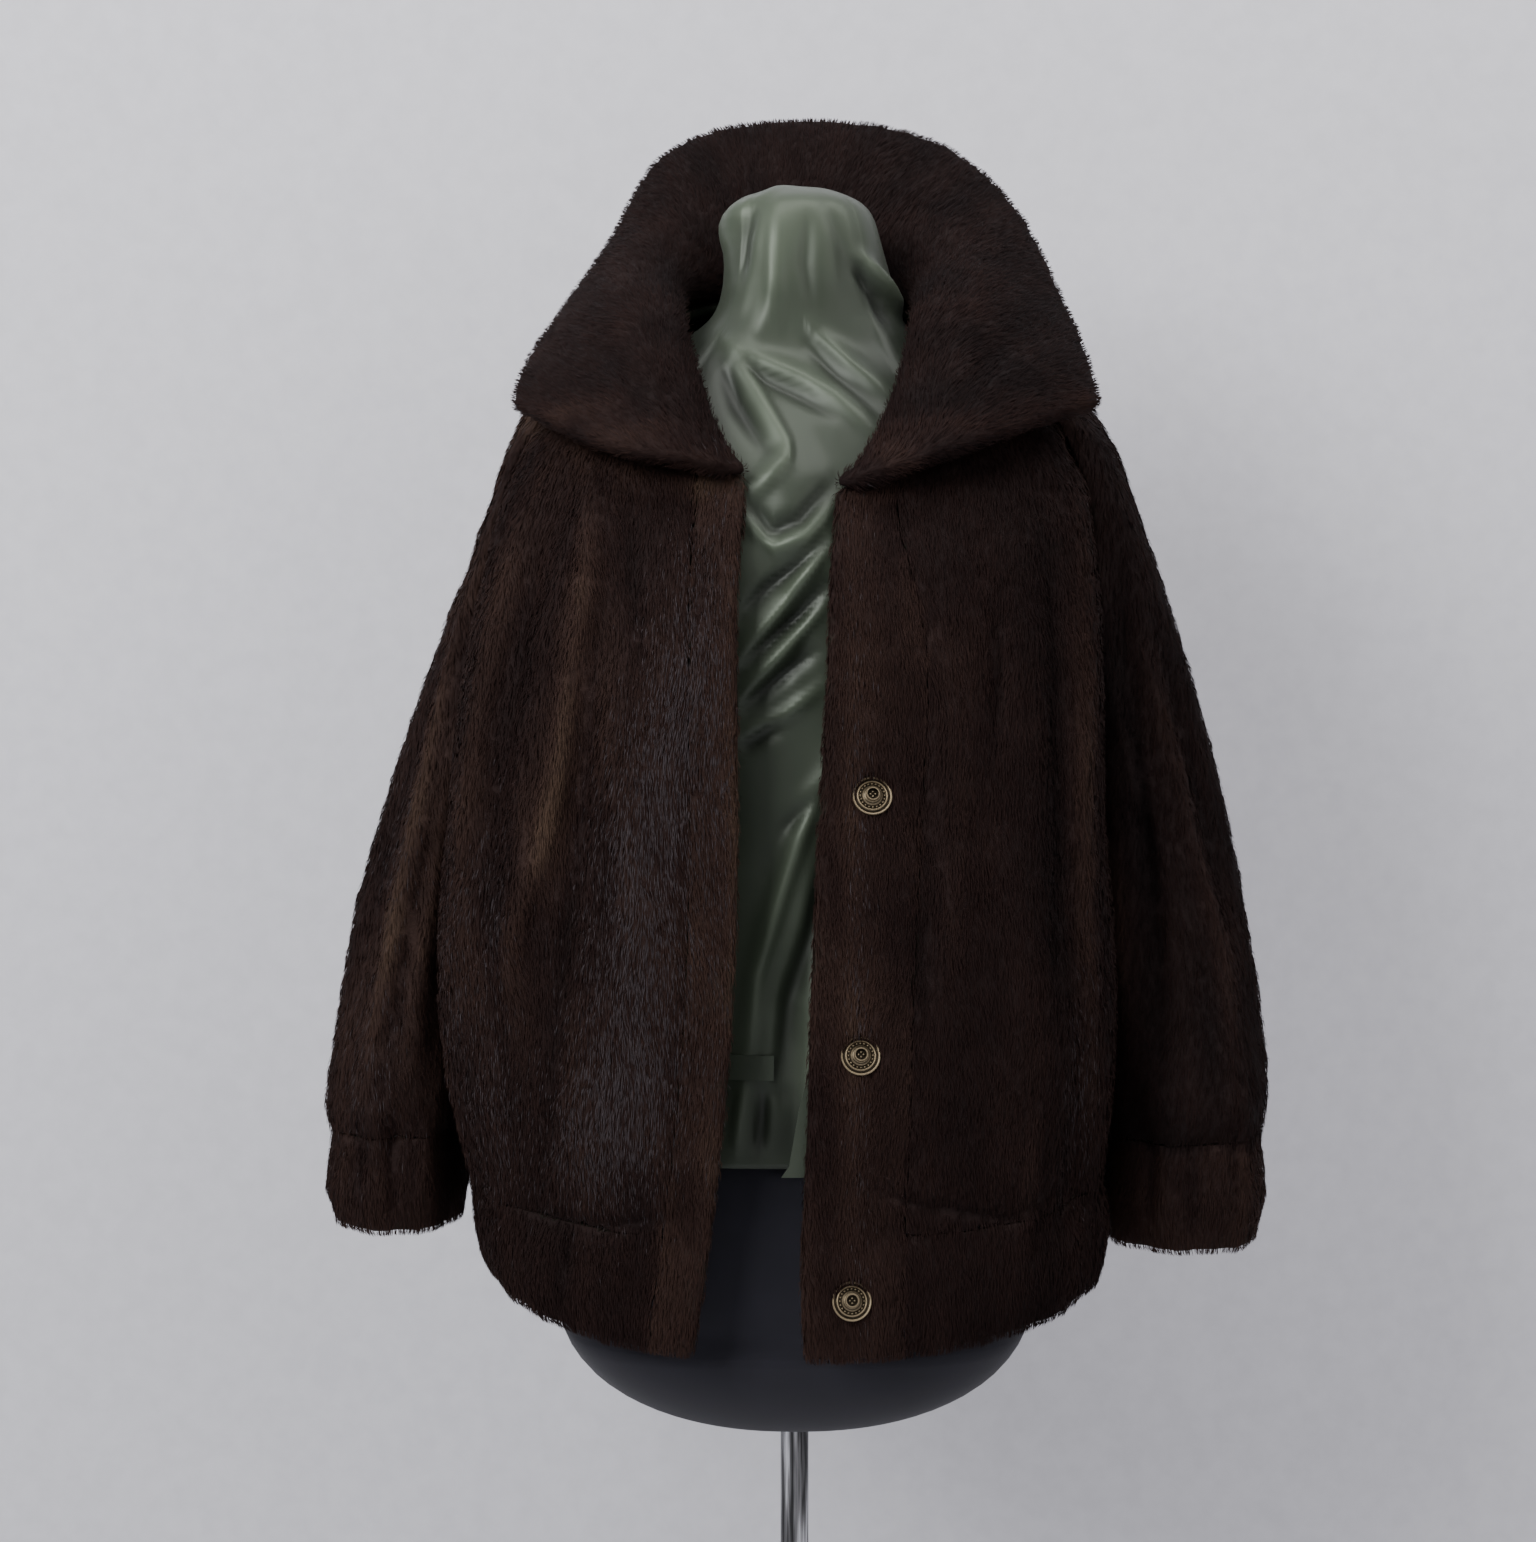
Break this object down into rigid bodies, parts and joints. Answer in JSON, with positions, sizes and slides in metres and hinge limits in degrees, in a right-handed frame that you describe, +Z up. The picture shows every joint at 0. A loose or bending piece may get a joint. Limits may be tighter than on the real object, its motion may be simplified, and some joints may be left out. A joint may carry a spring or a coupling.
{
  "type": "fur coat on dress form stand",
  "caption": "Short dark brown fur coat with a wide raised collar, worn open over a satin-covered limbless dress form on a round-based stand.",
  "frame": {"origin": "on the floor, at the middle of the stand base's underside", "axes": "+Z up along the pole; the coat's front faces -Y; +X is on the right of someone who stands in front of it, the wearer's left"},
  "size_m": [0.682, 0.38, 1.5803],
  "materials": {
    "fur": "dense dark brown mink with a soft sheen",
    "satin": "smooth green satin",
    "snap_metal": "antique brass",
    "form_cloth": "matte navy jersey",
    "stand_chrome": "polished"
  },
  "bodies": {
    "root": {"front_right": "fur", "front_left": "fur", "back": "fur", "hem_right": "fur", "hem_left": "fur", "hem_back": "fur", "band_right": "fur", "band_left": "fur", "sleeve_right": "fur", "sleeve_left": "fur", "cuff_right": "fur", "cuff_left": "fur", "collar": "fur", "satin_lining": "satin", "lining_tab": "satin", "lining_tail": "satin", "snap_stud_1": "snap_metal", "snap_stud_2": "snap_metal", "snap_stud_3": "snap_metal", "snap_socket_1": "snap_metal", "snap_socket_2": "snap_metal", "snap_socket_3": "snap_metal", "dress_form": "form_cloth", "stand_pole": "stand_chrome", "stand_base": "stand_chrome"}
  },
  "joints": []
}
